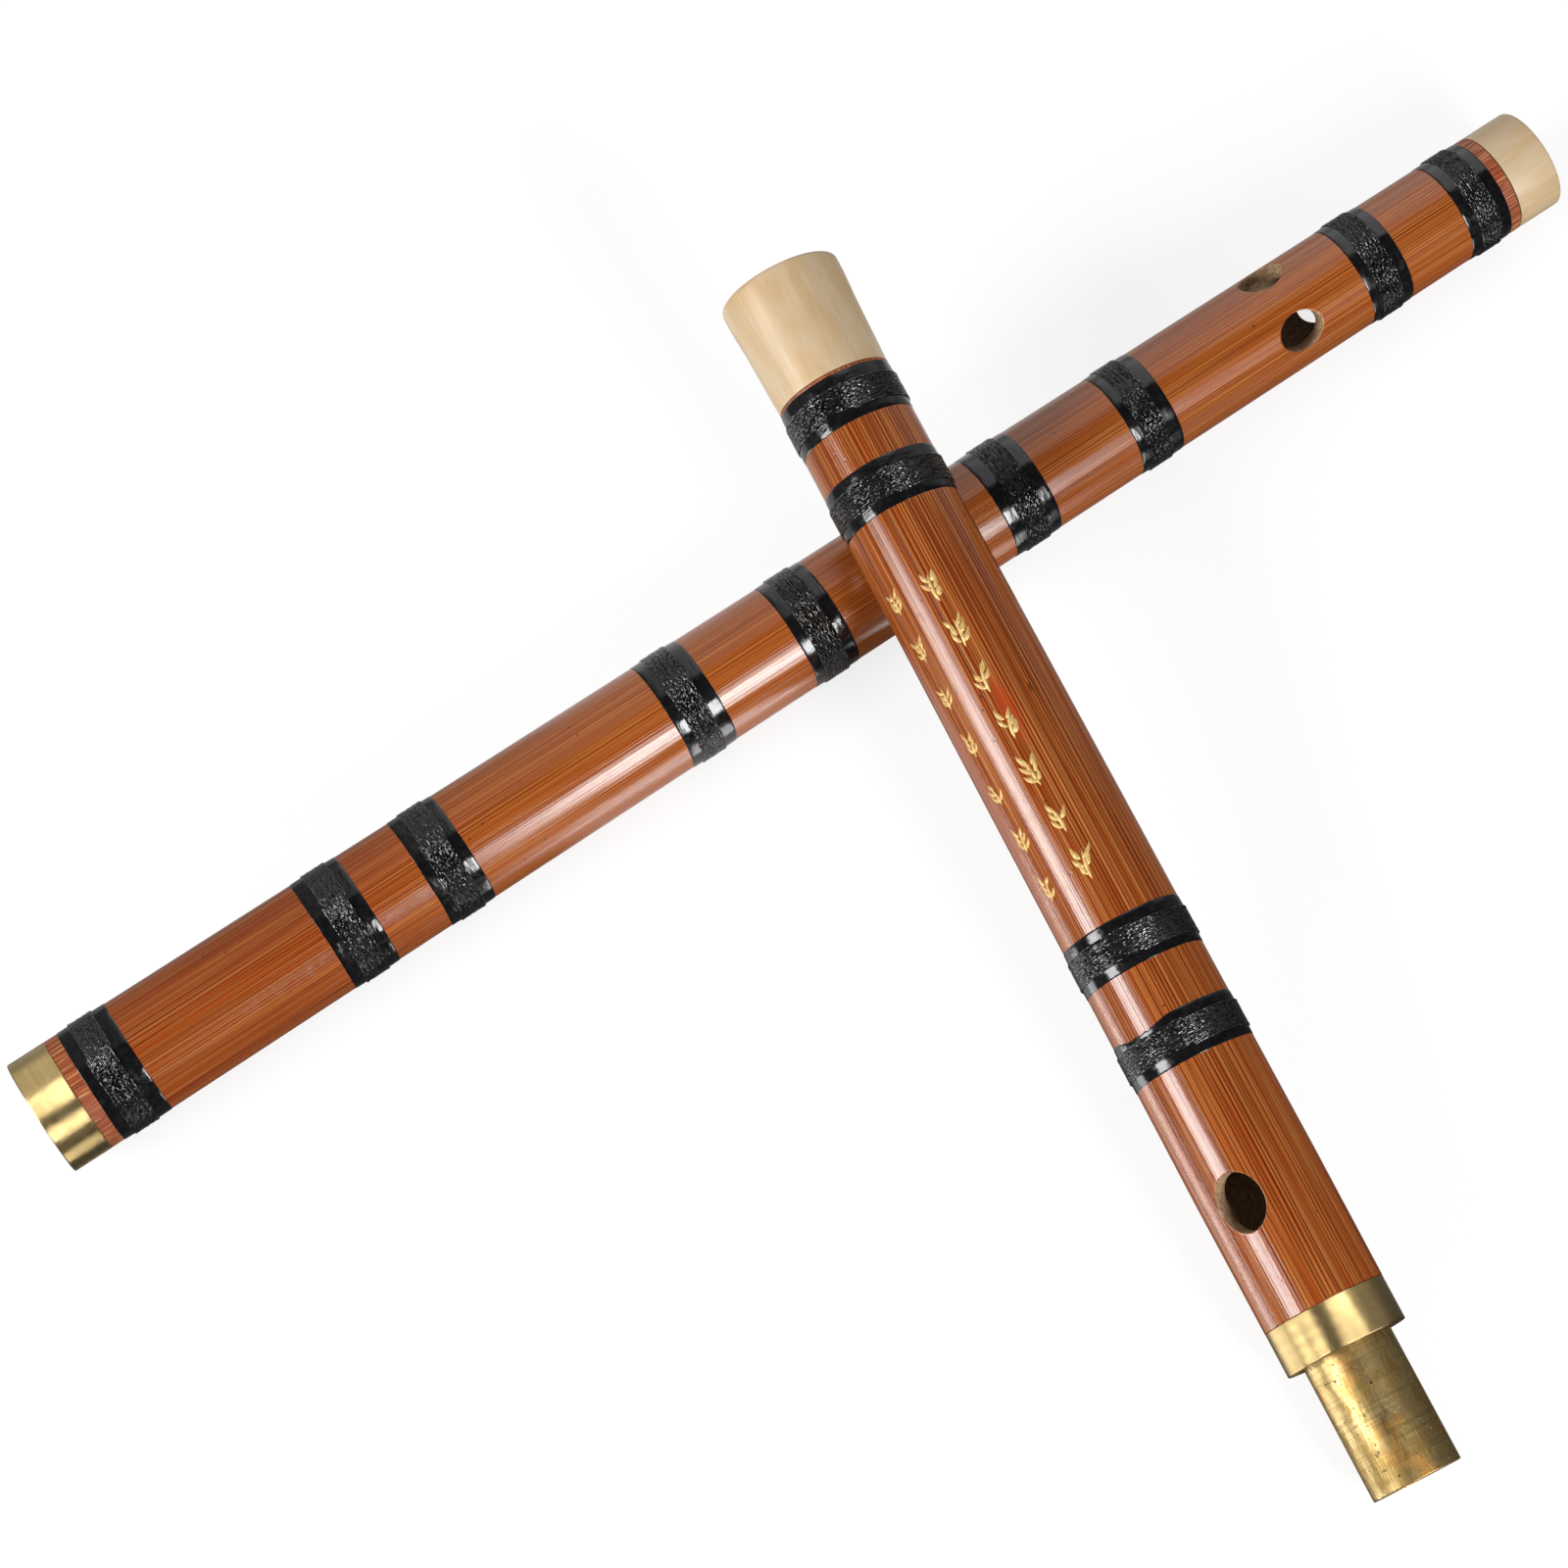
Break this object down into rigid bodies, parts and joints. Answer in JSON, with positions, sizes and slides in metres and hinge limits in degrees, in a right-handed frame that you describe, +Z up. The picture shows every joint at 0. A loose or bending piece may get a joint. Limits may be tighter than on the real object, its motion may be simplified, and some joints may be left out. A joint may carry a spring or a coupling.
{
  "type": "dizi",
  "caption": "Bamboo cross flute in two sections laid crossed: socketed foot with finger holes, and head with brass tenon, blow hole, black bindings and pale horn ends.",
  "frame": {"origin": "centre of the underside of the box round both sections as they lie", "axes": "+Z up, +X along the foot section from its socket to its cap, +Y the side on which the head's cap lies"},
  "size_m": [0.354, 0.2585, 0.0542],
  "materials": {
    "foot_bamboo": "glossy lacquer over fine lengthwise grain",
    "socket_ferrule_brass": "brushed round, lightly tarnished",
    "socket_lining_brass": "brushed round, lightly tarnished",
    "foot_cap_horn": "polished pale horn with cloudy streaks",
    "membrane_film": "thin crinkled reed film",
    "foot_lacquer_1": "glossy black lacquer",
    "foot_lacquer_2": "glossy black lacquer",
    "foot_thread_2": "waxed black thread",
    "foot_lacquer_3": "glossy black lacquer",
    "foot_thread_3": "waxed black thread",
    "foot_lacquer_4": "glossy black lacquer",
    "foot_thread_4": "waxed black thread",
    "foot_lacquer_5": "glossy black lacquer",
    "foot_thread_5": "waxed black thread",
    "foot_lacquer_6": "glossy black lacquer",
    "foot_thread_6": "waxed black thread",
    "foot_lacquer_7": "glossy black lacquer",
    "foot_thread_7": "waxed black thread",
    "foot_lacquer_8": "glossy black lacquer",
    "foot_thread_8": "waxed black thread",
    "foot_lacquer_9": "glossy black lacquer",
    "foot_thread_1": "waxed black thread",
    "foot_thread_9": "waxed black thread",
    "head_bamboo": "glossy lacquer over fine lengthwise grain",
    "head_ferrule_brass": "brushed round, lightly tarnished",
    "tenon_brass": "brushed round, lightly tarnished",
    "head_cap_horn": "polished pale horn with cloudy streaks",
    "stopper_cork": "matt cork",
    "head_lacquer_1": "glossy black lacquer",
    "head_thread_1": "waxed black thread",
    "head_lacquer_2": "glossy black lacquer",
    "head_thread_2": "waxed black thread",
    "head_lacquer_3": "glossy black lacquer",
    "head_thread_3": "waxed black thread",
    "head_lacquer_4": "glossy black lacquer",
    "head_thread_4": "waxed black thread"
  },
  "bodies": {
    "foot": {"foot_tube": "foot_bamboo", "socket_ferrule": "socket_ferrule_brass", "socket_lining": "socket_lining_brass", "foot_end_cap": "foot_cap_horn", "membrane": "membrane_film", "foot_lacquer_1": "foot_lacquer_1", "foot_lacquer_2": "foot_lacquer_2", "foot_thread_2": "foot_thread_2", "foot_lacquer_3": "foot_lacquer_3", "foot_thread_3": "foot_thread_3", "foot_lacquer_4": "foot_lacquer_4", "foot_thread_4": "foot_thread_4", "foot_lacquer_5": "foot_lacquer_5", "foot_thread_5": "foot_thread_5", "foot_lacquer_6": "foot_lacquer_6", "foot_thread_6": "foot_thread_6", "foot_lacquer_7": "foot_lacquer_7", "foot_thread_7": "foot_thread_7", "foot_lacquer_8": "foot_lacquer_8", "foot_thread_8": "foot_thread_8", "foot_lacquer_9": "foot_lacquer_9", "foot_thread_1": "foot_thread_1", "foot_thread_9": "foot_thread_9"},
    "head": {"head_tube": "head_bamboo", "head_ferrule": "head_ferrule_brass", "tenon": "tenon_brass", "head_end_cap": "head_cap_horn", "head_lacquer_1": "head_lacquer_1", "head_thread_1": "head_thread_1", "head_lacquer_2": "head_lacquer_2", "head_thread_2": "head_thread_2", "head_lacquer_3": "head_lacquer_3", "head_thread_3": "head_thread_3", "head_lacquer_4": "head_lacquer_4", "head_thread_4": "head_thread_4"},
    "stopper": {"stopper": "stopper_cork"}
  },
  "joints": [
    {"name": "head_lift", "type": "slide", "parent": "foot", "child": "head", "axis": [0, 0, 1], "range_m": [0, 0.1]},
    {"name": "stopper_slide", "type": "slide", "parent": "head", "child": "stopper", "axis": [0.1277, 0.9836, 0.1273], "range_m": [-0.003, 0.003]}
  ]
}
